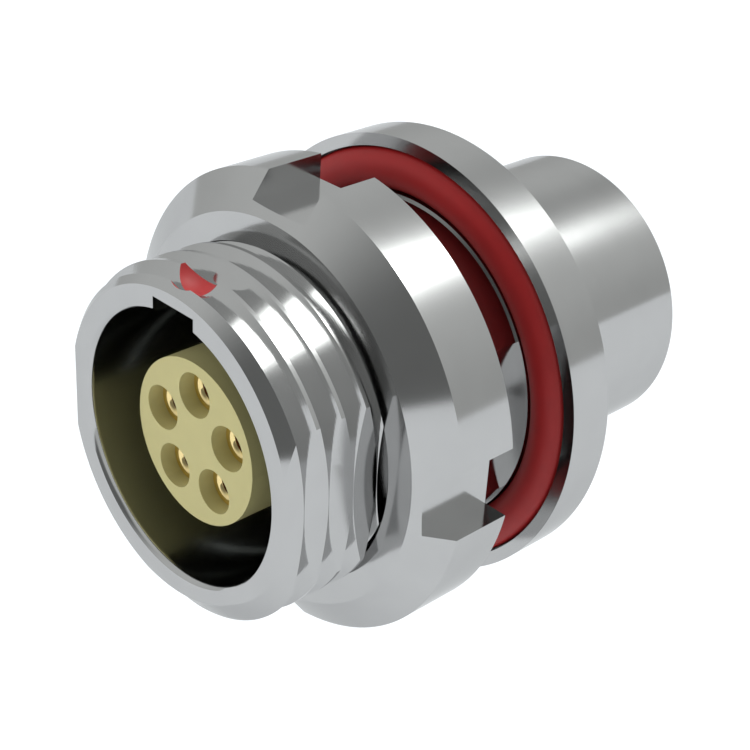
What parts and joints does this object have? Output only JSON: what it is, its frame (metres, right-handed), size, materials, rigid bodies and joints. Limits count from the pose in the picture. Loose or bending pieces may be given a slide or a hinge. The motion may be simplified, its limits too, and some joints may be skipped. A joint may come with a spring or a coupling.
{
  "type": "push-pull connector receptacle",
  "caption": "Round push-pull connector receptacle for a panel: keyed socket insert in a threaded barrel, notched round nut, red seal ring on the flange, plain rear sleeve.",
  "frame": {"origin": "on the axis, in the plane of the flange's front face, which meets the panel", "axes": "+Y along the axis to the wires' end, +Z to the key slot, +X to the right seen from the front"},
  "size_m": [0.016, 0.0191, 0.016],
  "materials": {
    "plated_body": "bright plated brass",
    "plated_nut": "bright plated brass",
    "red_rubber": "satin silicone",
    "red_enamel": "gloss enamel",
    "olive_insulator": "matt moulded",
    "black_rubber": "matt",
    "bare_steel": "fine turned",
    "spring_bronze": "bright rolled",
    "black_resin": "satin cast",
    "gold_contact": "gold plated"
  },
  "bodies": {
    "body": {"shell": "plated_body", "guide_mark": "red_enamel", "front_insulator": "olive_insulator", "rear_insulator": "olive_insulator", "inner_seal": "black_rubber", "retaining_ring": "bare_steel", "earthing_ring": "spring_bronze", "potting": "black_resin", "contact_1": "gold_contact", "contact_clip_1": "spring_bronze", "contact_2": "gold_contact", "contact_clip_2": "spring_bronze", "contact_3": "gold_contact", "contact_clip_3": "spring_bronze", "contact_4": "gold_contact", "contact_clip_4": "spring_bronze", "contact_5": "gold_contact", "contact_clip_5": "spring_bronze"},
    "seal": {"panel_ring": "red_rubber"},
    "nut": {"round_nut": "plated_nut"}
  },
  "joints": [
    {"name": "nut_turn", "type": "hinge", "parent": "body", "child": "seal", "pos_m": [0, 0, 0], "axis": [0, 1, 0], "range_deg": [-2344, 184]},
    {"name": "nut_travel", "type": "slide", "parent": "seal", "child": "nut", "axis": [0, 1, 0], "range_m": [-0.0065, 0.0005]}
  ],
  "couplings": [
    {"joint": "nut_turn", "follows": "nut_travel", "rad_per_m": 6283.2}
  ]
}
